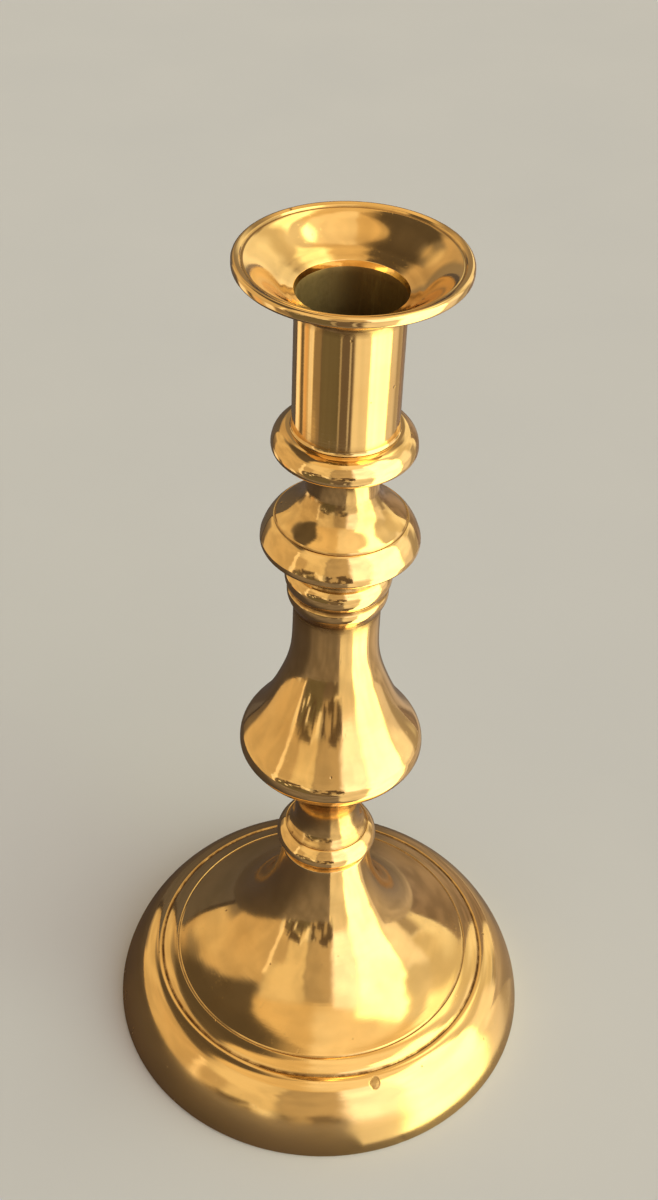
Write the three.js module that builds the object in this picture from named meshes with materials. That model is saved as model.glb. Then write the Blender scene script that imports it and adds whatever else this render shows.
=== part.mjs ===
// A brass candlestick with a push-up candle ejector: a hollow cast foot, a cored baluster stem, and a socket
// with a flared drip pan. Millimetres, +Z up, origin at the centre of the face that the foot stands on.
import * as THREE from "three";

// Driving dimensions: heights above the table and radii from the axis.
const GAP = 0.3; // clearance between pieces that meet

const FOOT = {
  radius: 51.65, // widest, where it meets the table
  rim: 2.6, // width of the turned ring that it stands on
  wall: 2.6, // thickness of the casting
  shoulder: { radius: 41.2, height: 17.1 }, // where the rounded shoulder meets the outer turned line
  dome: { radius: 36.5, height: 19.0 }, // where the concave dome meets the inner turned line
  neck: { radius: 10.5, height: 56.0 }, // top face, which carries the stem
  ledge: { radius: 8.8, height: 42.0 }, // flat underside of the neck, which the washer bears on
};

const STEM = {
  tenon: { radius: 4.3, foot: 33.5, bore: 2.4 },
  lowerRing: { radius: 11.87, height: 59.5 },
  arris: { radius: 9.3, height: 63.4 },
  lowerNeck: { radius: 7.6, height: 70.5 },
  pearFoot: { radius: 9.0, height: 76.0 }, // where the pear's underside swells out of the lower neck
  pear: { radius: 20.75, height: 91.6 },
  pearFlank: { radius: 13.7, height: 105.6 }, // where the flank turns from rounded to hollow
  upperNeck: { radius: 9.4, height: 126.0 },
  bead: { radius: 10.85, height: 135.8 },
  collar: { radius: 11.4, height: 139.9 },
  spool: { radius: 9.9, height: 144.1 },
  knop: { radius: 16.6, height: 149.5 },
  topNeck: { radius: 7.5, height: 162.6 },
  cupRing: { radius: 14.65, height: 172.9 },
  seat: { radius: 11.0, height: 176.9 }, // flat top, which the socket stands on
  core: 4.2, // radius of the hole cored down the stem
  pearCore: 9.5, // and where it widens inside the pear
  spigotBore: { radius: 5.5, floor: 165.6 },
};

const SOCKET = {
  tubeRadius: 10.65,
  floor: 182.0, // inside
  boreFoot: 9.0, // radius of the bore at its floor
  boreThroat: { radius: 9.3, height: 198.0 },
  mouth: { radius: 10.8, height: 207.0, lip: 1.2 },
  pan: { radius: 22.3, height: 213.6, edge: 2.3 },
  spigot: { radius: 5.2, foot: 166.2, bore: 2.4 },
};

const EJECTOR = {
  plate: { radius: 8.5, thickness: 1.5, hole: 1.9 },
  rod: { radius: 1.6, foot: 8.0, head: 2.8, headHeight: 1.1 },
  button: { radius: 7.2, foot: 5.2, rim: 3.6, boss: 4.0, top: 13.5 },
};

const WASHER = { radius: 8.2, thickness: 1.3 };
const NUT = { acrossFlats: 14.0, thickness: 5.2 };

const FOOT_SIDES = 48;
const STEM_SIDES = 32;
const SMALL_SIDES = 24;
const ROD_SIDES = 12;

const BRASS = { color: 0xc9963f, roughness: 0.22, metalness: 1.0 };
const FOOT_BRASS = { color: 0xc08c3a, roughness: 0.28, metalness: 1.0 };
const DULL_BRASS = { color: 0x9c7535, roughness: 0.45, metalness: 1.0 };
const IRON = { color: 0x4a4744, roughness: 0.6, metalness: 0.9 };

const at = (radius, height) => new THREE.Vector2(radius, height);

// Points on a quarter or half of an ellipse about a centre, angles in degrees from straight outwards.
function round(center, outwards, upwards, fromDegrees, toDegrees, steps) {
  return Array.from({ length: steps + 1 }, (_, i) => {
    const angle = THREE.MathUtils.degToRad(fromDegrees + ((toDegrees - fromDegrees) * i) / steps);
    return at(center.x + outwards * Math.cos(angle), center.y + upwards * Math.sin(angle));
  });
}

// Points on a smooth bend between two ends, pulled towards two handles.
function bend(start, handleA, handleB, end, steps) {
  return new THREE.CubicBezierCurve(start, handleA, handleB, end).getPoints(steps);
}

// A solid turned about Z from an outline that runs up the outside. An outline that doesn't
// begin and end on the axis closes on itself.
function turned(outline, sides) {
  const points = outline.flat();
  const onAxis = points[0].x === 0 && points.at(-1).x === 0;
  if (!onAxis) points.push(points[0].clone());
  return new THREE.LatheGeometry(points, sides).rotateX(Math.PI / 2);
}

function piece(name, geometry, finish) {
  const mesh = new THREE.Mesh(geometry, new THREE.MeshStandardMaterial(finish));
  mesh.name = name;
  return mesh;
}

function baseFoot() {
  const { radius, rim, wall, shoulder, dome, neck, ledge } = FOOT;
  const edge = 0.5; // the foot's lower edge is just broken
  const tenonHole = STEM.tenon.radius + GAP;
  const outside = [
    at(radius - rim, 0),
    at(radius - edge, 0),
    // the rounded shoulder, from the table up to the outer turned line
    ...bend(
      at(radius, edge),
      at(radius, edge + 5),
      at(shoulder.radius + 5.5, shoulder.height - 0.6),
      at(shoulder.radius, shoulder.height),
      7,
    ),
    // the line, the rounded step inside it, and the flat band up to the inner line
    at(shoulder.radius - 0.3, shoulder.height - 0.4),
    at(shoulder.radius - 0.7, shoulder.height + 0.3),
    at(shoulder.radius - 1.8, shoulder.height + 1.1),
    at(dome.radius + 0.4, dome.height - 0.2),
    at(dome.radius, dome.height - 0.4),
    // the concave dome up to the neck
    ...bend(at(dome.radius - 0.4, dome.height + 0.2), at(20, 23.8), at(11, 40), at(neck.radius, neck.height), 8),
  ];
  const inside = [
    at(tenonHole, neck.height),
    at(tenonHole, ledge.height),
    at(ledge.radius, ledge.height),
    ...bend(
      at(ledge.radius + 0.4, ledge.height - 5),
      at(ledge.radius + 3, 29),
      at(20, 21),
      at(dome.radius, dome.height - wall),
      4,
    ),
    ...bend(
      at(shoulder.radius, shoulder.height - wall),
      at(shoulder.radius + 4, shoulder.height - wall - 1),
      at(radius - rim, edge + 4),
      at(radius - rim, edge + 1.5),
      4,
    ),
  ];
  return piece("base_foot", turned([outside, inside], FOOT_SIDES), FOOT_BRASS);
}

function stemBaluster() {
  const { tenon, lowerRing, arris, lowerNeck, pearFoot, pear, pearFlank, upperNeck } = STEM;
  const { bead, collar, spool, knop, topNeck, cupRing, seat, core, pearCore, spigotBore } = STEM;
  const flange = FOOT.neck.height + GAP;
  const flankLean = 3.9; // the flank's slope where it turns, as a run inwards over a rise
  const flankRise = 9.3;
  const outside = [
    at(tenon.bore, tenon.foot),
    at(tenon.radius, tenon.foot),
    at(tenon.radius, flange),
    at(FOOT.neck.radius, flange),
    at(FOOT.neck.radius, flange + 1.2),
    // lower ring and the small step above it
    ...round(at(lowerRing.radius - 1.6, lowerRing.height), 1.6, 1.5, -60, 0, 2),
    ...bend(
      at(lowerRing.radius - 0.1, lowerRing.height + 0.5),
      at(lowerRing.radius - 0.4, lowerRing.height + 2),
      at(arris.radius + 1.2, arris.height - 0.6),
      at(arris.radius + 0.4, arris.height - 0.5),
      2,
    ),
    at(arris.radius, arris.height),
    // the cove up to the lower neck
    ...bend(
      at(arris.radius - 0.4, arris.height + 0.4),
      at(lowerNeck.radius + 0.2, arris.height + 2.5),
      at(lowerNeck.radius, lowerNeck.height - 3),
      at(lowerNeck.radius, lowerNeck.height),
      3,
    ),
    // out under the pear, over its rounded flank, and up the hollow flank to the upper neck
    ...bend(
      at(pearFoot.radius, pearFoot.height),
      at(pearFoot.radius + 4.6, pearFoot.height + 7.2),
      at(pear.radius, pear.height - 2.5),
      at(pear.radius, pear.height),
      5,
    ),
    ...bend(
      at(pear.radius, pear.height),
      at(pear.radius, pear.height + 4.3),
      at(pearFlank.radius + flankLean, pearFlank.height - flankRise),
      at(pearFlank.radius, pearFlank.height),
      4,
    ).slice(1),
    ...bend(
      at(pearFlank.radius, pearFlank.height),
      at(pearFlank.radius - flankLean, pearFlank.height + flankRise),
      at(upperNeck.radius, upperNeck.height - 7.2),
      at(upperNeck.radius, upperNeck.height),
      5,
    ).slice(1),
    at(upperNeck.radius, bead.height - 3.8),
    at(bead.radius - 0.6, bead.height - 2.5),
    at(bead.radius - 0.2, bead.height - 1.2),
    at(bead.radius, bead.height),
    at(bead.radius - 0.35, bead.height + 1.1),
    ...round(at(collar.radius - 1.9, collar.height), 1.9, 3, -62, 66, 4),
    // the spool up to the knop's undercut
    at(spool.radius, spool.height - 1.1),
    at(spool.radius, spool.height + 1.1),
    at(knop.radius - 4.5, knop.height - 2.2),
    ...round(at(knop.radius - 1.6, knop.height), 1.6, 1.3, -70, 0, 2),
    // the knop's rounded edge, its turned line and the hollow slope up to the top neck
    ...bend(
      at(knop.radius - 0.1, knop.height + 0.8),
      at(knop.radius - 0.6, knop.height + 2.6),
      at(knop.radius - 1.6, knop.height + 4.6),
      at(knop.radius - 2.8, knop.height + 5.6),
      3,
    ),
    at(knop.radius - 3.2, knop.height + 5.5),
    ...bend(
      at(knop.radius - 3.5, knop.height + 6),
      at(knop.radius - 5.6, knop.height + 8),
      at(topNeck.radius + 0.4, topNeck.height - 4.5),
      at(topNeck.radius, topNeck.height),
      4,
    ),
    ...bend(
      at(topNeck.radius, topNeck.height + 2.5),
      at(topNeck.radius + 0.3, topNeck.height + 6),
      at(cupRing.radius - 5, cupRing.height - 2.4),
      at(cupRing.radius - 3.2, cupRing.height - 2.1),
      3,
    ),
    ...round(at(cupRing.radius - 3.6, cupRing.height), 3.6, 2, -60, 0, 3),
    ...round(at(cupRing.radius - 3.6, cupRing.height), 3.6, seat.height - cupRing.height, 20, 86, 4),
    at(seat.radius, seat.height),
  ];
  const inside = [
    at(spigotBore.radius, seat.height),
    at(spigotBore.radius, spigotBore.floor),
    at(core, spigotBore.floor),
    at(core, pear.height + 16),
    at(pearCore, pear.height + 6),
    at(pearCore, pear.height - 6),
    at(core, pear.height - 14),
    at(core, lowerRing.height + 1),
    at(tenon.bore, lowerRing.height - 1),
  ];
  return piece("stem_baluster", turned([outside, inside], STEM_SIDES), BRASS);
}

function candleSocket() {
  const { tubeRadius, floor, boreFoot, boreThroat, mouth, pan, spigot } = SOCKET;
  const foot = STEM.seat.height + GAP;
  const panUnder = pan.height - pan.edge;
  const outside = [
    at(spigot.bore, spigot.foot),
    at(spigot.radius, spigot.foot),
    at(spigot.radius, foot),
    at(STEM.seat.radius, foot),
    at(tubeRadius + 0.12, foot + 0.35),
    at(tubeRadius, foot + 0.9),
    // the tube, and the pan's flared underside
    ...bend(
      at(tubeRadius, mouth.height - 3.4),
      at(tubeRadius + 0.05, mouth.height - 1),
      at(pan.radius - 7.7, panUnder - 3),
      at(pan.radius - 0.9, panUnder),
      6,
    ),
    ...round(at(pan.radius - 0.8, panUnder + 0.8), 0.8, 0.8, -60, 0, 2),
    ...round(at(pan.radius - 0.8, pan.height - 0.8), 0.8, 0.8, 0, 90, 3),
    // inside: the incised line, the pan's slope, and the land round the mouth
    at(pan.radius - 1.7, pan.height - 0.5),
    at(pan.radius - 2.0, pan.height - 0.95),
    at(pan.radius - 2.3, pan.height - 0.9),
    ...bend(
      at(pan.radius - 5, pan.height - 2.4),
      at(pan.radius - 6.5, pan.height - 3.4),
      at(mouth.radius + 3.6, mouth.height + 2),
      at(mouth.radius + 2.2, mouth.height + 1.1),
      3,
    ),
    at(mouth.radius, mouth.height),
    at(mouth.radius - 0.3, mouth.height - mouth.lip),
    at(boreThroat.radius, boreThroat.height),
    at(boreFoot, floor + 1),
    at(boreFoot - 1, floor),
    at(spigot.bore, floor),
  ];
  return piece("candle_socket", turned([outside], STEM_SIDES), BRASS);
}

function tenonWasher() {
  const top = FOOT.ledge.height - GAP;
  const hole = STEM.tenon.radius + GAP;
  const outline = [
    at(hole, top - WASHER.thickness),
    at(WASHER.radius, top - WASHER.thickness),
    at(WASHER.radius, top),
    at(hole, top),
  ];
  return piece("tenon_washer", turned([outline], SMALL_SIDES), DULL_BRASS);
}

function tenonNut() {
  const top = FOOT.ledge.height - GAP - WASHER.thickness - GAP;
  const cornerRadius = NUT.acrossFlats / Math.sqrt(3);
  const hexagon = new THREE.Shape(
    Array.from({ length: 6 }, (_, i) => {
      const angle = (i * Math.PI) / 3;
      return at(cornerRadius * Math.cos(angle), cornerRadius * Math.sin(angle));
    }),
  );
  hexagon.holes.push(new THREE.Path().absarc(0, 0, STEM.tenon.radius + GAP, 0, 2 * Math.PI, true));
  const geometry = new THREE.ExtrudeGeometry(hexagon, {
    depth: NUT.thickness,
    bevelEnabled: false,
    curveSegments: SMALL_SIDES / 2,
  });
  geometry.translate(0, 0, top - NUT.thickness);
  return piece("tenon_nut", geometry, DULL_BRASS);
}

function ejectorPlate() {
  const { radius, thickness, hole } = EJECTOR.plate;
  const under = SOCKET.floor + GAP;
  const outline = [
    at(hole, under),
    at(radius - 0.9, under),
    at(radius, under + 0.6),
    at(radius, under + thickness),
    at(EJECTOR.rod.head + 2 * GAP, under + thickness), // edge of the land under the rod's head
    at(hole, under + thickness),
  ];
  return piece("ejector_plate", turned([outline], SMALL_SIDES), DULL_BRASS);
}

function ejectorRod() {
  const { radius, foot, head, headHeight } = EJECTOR.rod;
  const plateTop = SOCKET.floor + GAP + EJECTOR.plate.thickness;
  const outline = [
    at(0, foot),
    at(radius, foot),
    at(radius, plateTop + GAP),
    at(head, plateTop + GAP),
    at(head - 0.8, plateTop + GAP + headHeight * 0.8),
    at(0, plateTop + GAP + headHeight),
  ];
  return piece("ejector_rod", turned([outline], ROD_SIDES), IRON);
}

function ejectorButton() {
  const { radius, foot, rim, boss, top } = EJECTOR.button;
  const hole = EJECTOR.rod.radius + GAP;
  const outline = [
    at(0, foot),
    at(radius - 1.5, foot + 0.3),
    at(radius, foot + 1.6),
    at(radius, foot + rim - 0.6),
    at(radius - 0.8, foot + rim),
    at(boss, foot + rim + 0.8),
    at(boss, top),
    at(hole, top),
    at(hole, EJECTOR.rod.foot - GAP),
    at(0, EJECTOR.rod.foot - GAP),
  ];
  return piece("ejector_button", turned([outline], SMALL_SIDES), DULL_BRASS);
}

const candlestick = new THREE.Group();
candlestick.add(
  baseFoot(),
  stemBaluster(),
  candleSocket(),
  tenonWasher(),
  tenonNut(),
  ejectorPlate(),
  ejectorRod(),
  ejectorButton(),
);

export default candlestick;
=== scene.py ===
"""An old polished brass candlestick: hollow foot, baluster stem, socket with a drip pan, push-up ejector.

Lengths are in millimetres until a mesh is built, and radii are taken from the candlestick's axis.
"""

import math

import bpy
from mathutils import Matrix, Vector, noise


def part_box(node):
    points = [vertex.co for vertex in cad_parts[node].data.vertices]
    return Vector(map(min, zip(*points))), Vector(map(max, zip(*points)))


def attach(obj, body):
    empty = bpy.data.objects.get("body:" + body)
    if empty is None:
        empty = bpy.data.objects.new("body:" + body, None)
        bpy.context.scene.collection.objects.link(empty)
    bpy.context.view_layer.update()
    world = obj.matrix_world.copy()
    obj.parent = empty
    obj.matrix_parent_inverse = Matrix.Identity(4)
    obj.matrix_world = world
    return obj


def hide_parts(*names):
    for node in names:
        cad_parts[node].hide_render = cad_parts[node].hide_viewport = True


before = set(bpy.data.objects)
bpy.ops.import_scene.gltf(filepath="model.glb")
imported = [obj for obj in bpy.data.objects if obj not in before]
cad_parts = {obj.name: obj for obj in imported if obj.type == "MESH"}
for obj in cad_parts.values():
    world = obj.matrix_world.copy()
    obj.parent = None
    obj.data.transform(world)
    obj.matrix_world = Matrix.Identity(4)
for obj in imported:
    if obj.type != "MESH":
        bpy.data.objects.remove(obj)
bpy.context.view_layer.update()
MM = 0.001


# ---------------------------------------------------------------- sizes, from the frame

def cad_size(node):
    """(outer radius, foot, top) of a CAD node, in millimetres."""
    low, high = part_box(node)
    return high.x / MM, low.z / MM, high.z / MM


FOOT_RADIUS, _, NECK_TOP = cad_size("base_foot")
PEAR_RADIUS, TENON_FOOT, SEAT_TOP = cad_size("stem_baluster")
PAN_RADIUS, SPIGOT_FOOT, PAN_TOP = cad_size("candle_socket")
WASHER_RADIUS, WASHER_FOOT, WASHER_TOP = cad_size("tenon_washer")
NUT_CORNER, NUT_FOOT, NUT_TOP = cad_size("tenon_nut")
PLATE_RADIUS, PLATE_FOOT, PLATE_TOP = cad_size("ejector_plate")
HEAD_RADIUS, ROD_FOOT, HEAD_TOP = cad_size("ejector_rod")
BUTTON_RADIUS, BUTTON_FOOT, BUTTON_TOP = cad_size("ejector_button")

SEAM = 0.08  # the fine line left where two pieces are drawn tight together
FLANGE = NECK_TOP + SEAM
SOCKET_FOOT = SEAT_TOP + SEAM

# The foot's turned lines and its walls. Here and below a pair is (radius, height).
SHOULDER = (FOOT_RADIUS - 10.45, 17.1)
DOME = (FOOT_RADIUS - 15.15, 19.0)
NECK_RADIUS = 10.5
LEDGE = (8.8, WASHER_TOP + 0.3)
FOOT_RIM = 2.6
FOOT_WALL = 2.6
TENON_HOLE = 4.6

# The stem, from the foot up.
TENON_RADIUS = 4.3
TENON_BORE = 2.4
LOWER_RING = (11.87, 59.5)
ARRIS = (9.3, 63.4)
LOWER_NECK = (7.6, 70.5)
PEAR_FOOT = (9.0, 76.0)
PEAR = (PEAR_RADIUS, 91.6)
PEAR_FLANK = (13.7, 105.6)
UPPER_NECK = (9.4, 126.0)
BEAD = (10.85, 135.8)
COLLAR = (11.4, 139.9)
SPOOL = (9.9, 144.1)
KNOP = (16.6, 149.5)
TOP_NECK = (7.5, 162.6)
CUP_RING = (14.65, 172.9)
SEAT_RADIUS = 11.0
CORE = 4.2
PEAR_CORE = 9.5
SPIGOT_BORE = (5.5, 165.6)

# The socket.
TUBE_RADIUS = 10.65
BORE_FLOOR = PLATE_FOOT - 0.3
BORE_FOOT = 9.0
THROAT = (9.3, 198.0)
MOUTH = (10.8, 207.0)
LIP = 1.2
PAN_EDGE = 2.3
SPIGOT_RADIUS = 5.2
SPIGOT_BORE_RADIUS = 2.4

ROD_RADIUS = 1.6
THREAD_PITCH = 1.1
THREAD_DEPTH = 0.32


# ---------------------------------------------------------------- outlines

def off(point, radius=0.0, height=0.0):
    """A point moved outwards and upwards."""
    return point[0] + radius, point[1] + height


def bend(start, handle_a, handle_b, end, steps=24):
    """Points on a smooth bend between two ends, pulled towards two handles."""
    points = []
    for i in range(steps + 1):
        t = i / steps
        weights = ((1 - t) ** 3, 3 * t * (1 - t) ** 2, 3 * t * t * (1 - t), t ** 3)
        ends = (start, handle_a, handle_b, end)
        points.append(tuple(sum(w * p[k] for w, p in zip(weights, ends)) for k in (0, 1)))
    return points


def arc(center, outwards, upwards, from_degrees, to_degrees, steps=12):
    """Points on part of an ellipse, with angles measured from straight outwards."""
    points = []
    for i in range(steps + 1):
        angle = math.radians(from_degrees + (to_degrees - from_degrees) * i / steps)
        points.append(off(center, outwards * math.cos(angle), upwards * math.sin(angle)))
    return points


def soften(points, radius, closed):
    """The outline with each sharp corner rounded, as polishing leaves it.

    Here and below a point is (radius, height, material of the stretch that leads to it).
    """
    sharp = math.radians(12)
    longest_cut = 0.45
    last = len(points) - 1
    softened = []
    for i, point in enumerate(points):
        corner = Vector(point[:2])
        back = Vector(points[i - 1][:2]) - corner
        ahead = Vector(points[(i + 1) % len(points)][:2]) - corner
        turn = math.pi - back.angle(ahead, math.pi)
        if turn < sharp or (not closed and i in (0, last)):
            softened.append(point)
            continue
        room = longest_cut * min(back.length, ahead.length)
        cut = min(radius * math.tan(turn / 2), room)
        start = corner + back.normalized() * cut
        end = corner + ahead.normalized() * cut
        for t in (0, 0.25, 0.5, 0.75, 1):
            rounded = start.lerp(corner, t).lerp(corner.lerp(end, t), t)
            softened.append((*rounded, point[2]))
    return softened


def divide(points, longest, closed):
    """The outline with every stretch cut into steps no longer than this."""
    divided = []
    for a, b in zip(points, points[1:] + points[:1] if closed else points[1:]):
        count = max(1, math.ceil(math.dist(a[:2], b[:2]) / longest))
        divided.append(a)
        for k in range(1, count):
            t = k / count
            divided.append((a[0] + (b[0] - a[0]) * t, a[1] + (b[1] - a[1]) * t, b[2]))
    return divided if closed else divided + [points[-1]]


def hollowness(points, reach, closed):
    """How deep each outline point lies in a hollow, in millimetres; below 0 on a ridge."""
    count = len(points)
    flat = [point[:2] for point in points]
    values = []
    for i, here in enumerate(flat):
        ends = []
        for step in (-1, 1):
            j, travelled = i, 0.0
            while travelled < reach:
                k = j + step
                if not closed and not 0 <= k < count:
                    break
                travelled += math.dist(flat[j % count], flat[k % count])
                j = k
            ends.append(flat[j % count])
        (ax, ay), (bx, by) = ends
        length = math.dist(*ends) or 1.0
        outwards = ((by - ay) / length, (ax - bx) / length)
        middle = ((ax + bx) / 2, (ay + by) / 2)
        values.append((middle[0] - here[0]) * outwards[0] + (middle[1] - here[1]) * outwards[1])
    return values


# ---------------------------------------------------------------- meshes

HOLLOW_REACH = 0.8  # how far along the outline, to each side, a hollow is felt for
FULL_HOLLOW = 0.22  # the depth at which a hollow is darkened fully, as tarnished metal and as painted shade


def ring_angles(sides, marks=()):
    """Angles round the axis, closer together beside each mark, in degrees."""
    steps = 40
    angles = [360 * i / sides for i in range(sides)]
    for centre, spread in marks:
        near = [centre - spread + 2 * spread * k / steps for k in range(steps + 1)]
        angles = [a for a in angles if abs((a - centre + 180) % 360 - 180) > spread * 1.05] + near
    return sorted(a % 360 for a in angles)


def finish_mesh(name, vertices, faces, materials, slots, body, node):
    """Makes the object, in metres, and puts it in the place of its CAD node."""
    mesh = bpy.data.meshes.new(name)
    mesh.from_pydata([Vector(v) * MM for v in vertices], [], faces)
    for material in materials:
        mesh.materials.append(material)
    mesh.polygons.foreach_set("material_index", slots)
    mesh.polygons.foreach_set("use_smooth", [True] * len(faces))
    mesh.update()
    piece = bpy.data.objects.new(name, mesh)
    bpy.context.scene.collection.objects.link(piece)
    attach(piece, body)
    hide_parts(node)
    return piece


def turned(
    name,
    parts,
    materials,
    sides,
    body,
    node,
    corner=0.15,
    longest=1.0,
    shape=None,
    marks=(),
    stain=None,
):
    """A piece turned about Z.

    parts is a list of (outline points, material index), run up the outside and down the inside. An
    outline that doesn't begin and end on the axis closes on itself. shape(point, angle) may move a point,
    and stain(point, angle) gives it more of the hollows' darkening, from 0 to 1.
    """
    outline = [(*point, owner) for points, owner in parts for point in points]
    closed = outline[0][0] > 0
    smooth = divide(soften(outline, corner, closed), longest, closed)
    depths = hollowness(smooth, HOLLOW_REACH, closed)
    angles = [math.radians(a) for a in ring_angles(sides, marks)]
    vertices, rings, hollows, ridges = [], [], [], []
    for (radius, height, _), depth in zip(smooth, depths):
        on_axis = radius < 1e-6
        rings.append([])
        for angle in angles[:1] if on_axis else angles:
            point = Vector((radius * math.sin(angle), -radius * math.cos(angle), height))
            more = stain(point, angle) if stain else 0.0
            if shape and not on_axis:
                point = shape(point, angle)
            rings[-1].append(len(vertices))
            vertices.append(point)
            hollows.append(min(1.0, max(0.0, depth / FULL_HOLLOW) + more))
            ridges.append(min(1.0, max(0.0, -depth / FULL_HOLLOW)))
    faces, slots = [], []
    for i in range(len(rings) if closed else len(rings) - 1):
        k = (i + 1) % len(rings)
        low, high = rings[i], rings[k]
        for n in range(len(angles)):
            m = (n + 1) % len(angles)
            corners = [low[n % len(low)], low[m % len(low)], high[m % len(high)], high[n % len(high)]]
            face = list(dict.fromkeys(corners))
            if len(face) > 2:
                faces.append(face)
                slots.append(smooth[k][2])
    piece = finish_mesh(name, vertices, faces, materials, slots, body, node)
    for attribute, values in (("hollow", hollows), ("ridge", ridges)):
        layer = piece.data.attributes.new(attribute, "FLOAT", "POINT")
        layer.data.foreach_set("value", values)
    return piece


def uneven(amount, size, seed):
    """A shape function: the slight waves that casting and hand polishing leave."""
    shift = Vector((seed * 7.3, seed * 3.1, seed * 5.7))

    def move(point, angle):
        wave = noise.noise(point / size + shift) + 0.4 * noise.noise(point * 2.7 / size - shift)
        outwards = Vector((math.sin(angle), -math.cos(angle), 0))
        return point + outwards * wave * amount

    return move


# ---------------------------------------------------------------- materials

class Nodes:
    """Short ways to build a node tree."""

    def __init__(self, material):
        material.use_nodes = True
        self.tree = material.node_tree
        self.tree.nodes.clear()

    def node(self, kind, inputs=None, **settings):
        made = self.tree.nodes.new(kind)
        for key, value in settings.items():
            setattr(made, key, value)
        for key, value in (inputs or {}).items():
            self.give(made.inputs[key], value)
        return made

    def give(self, socket, value):
        if isinstance(value, bpy.types.NodeSocket):
            self.tree.links.new(value, socket)
        else:
            socket.default_value = value

    def math(self, operation, a, b=0.0, clamp=False):
        return self.node("ShaderNodeMath", {0: a, 1: b}, operation=operation, use_clamp=clamp).outputs[0]

    def ramp(self, value, low, high, to_low=0.0, to_high=1.0):
        """The value's stretch from low to high, as to_low to to_high."""
        inputs = {"Value": value, "From Min": low, "From Max": high, "To Min": to_low, "To Max": to_high}
        return self.node("ShaderNodeMapRange", inputs, interpolation_type="SMOOTHSTEP").outputs[0]

    def mix(self, factor, a, b):
        made = self.node("ShaderNodeMix", data_type="RGBA")
        self.give(made.inputs[0], factor)
        self.give(made.inputs[6], a)
        self.give(made.inputs[7], b)
        return made.outputs[2]

    def noise(self, vector, scale, detail=3.0, roughness=0.5):
        inputs = {"Vector": vector, "Scale": scale, "Detail": detail, "Roughness": roughness}
        return self.node("ShaderNodeTexNoise", inputs).outputs[0]

    def place(self, vector, scale, turn=(0, 0, 0)):
        """The vector turned and stretched."""
        return self.node("ShaderNodeMapping", {"Vector": vector, "Rotation": turn, "Scale": scale}).outputs[0]


def round_axis(nodes, position, along):
    """Coordinates in which a texture runs in rings round the axis: fine across them, long along them."""
    split = nodes.node("ShaderNodeSeparateXYZ", {0: position}).outputs
    flat = nodes.node("ShaderNodeCombineXYZ", {0: split[0], 1: split[1]}).outputs[0]
    radius = nodes.node("ShaderNodeVectorMath", {0: flat}, operation="LENGTH").outputs["Value"]
    way = nodes.node("ShaderNodeVectorMath", {0: flat}, operation="NORMALIZE").outputs[0]
    way_split = nodes.node("ShaderNodeSeparateXYZ", {0: way}).outputs
    travelled = nodes.math("SUBTRACT", split[2], radius)
    parts = {
        0: nodes.math("MULTIPLY", way_split[0], along),
        1: nodes.math("MULTIPLY", way_split[1], along),
        2: travelled,
    }
    return nodes.node("ShaderNodeCombineXYZ", parts).outputs[0]


def scratches(nodes, position, turn, density):
    """Fine straight scratches that run one way, in patches. 1 on a scratch."""
    stretched = nodes.place(position, (1400, 1400, 45), turn)
    lines = nodes.noise(stretched, 1.0, 2.0)
    patches = nodes.noise(nodes.place(position, (1, 1, 1), turn), 90.0, 1.0)
    thin = nodes.ramp(lines, 0.66, 0.72)
    return nodes.math("MULTIPLY", thin, nodes.ramp(patches, 0.62 - density, 0.70 - density))


# The brass's colours where it isn't clean metal, with painted light and shade among them.
# lighter on ridges: the brighter metal that rubbing leaves, and a painted highlight along the edges
EDGE_WEAR_AND_HIGHLIGHT = (0.98, 0.74, 0.40, 1)
# brown in the hollows: tarnished metal, and painted shade in the creases
TARNISH_AND_SHADE = (0.19, 0.095, 0.035, 1)
SPECK = (0.22, 0.11, 0.04, 1)

# How far its surface marks stand up or go in, in metres.
RING_HEIGHT = 0.000004
SCRATCH_DEPTH = 0.000006
SPECK_DEPTH = 0.00004
SKIN_HEIGHT = 0.000005
CAST_HEIGHT = 0.00022
WAVE_HEIGHT = 0.00003


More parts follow.
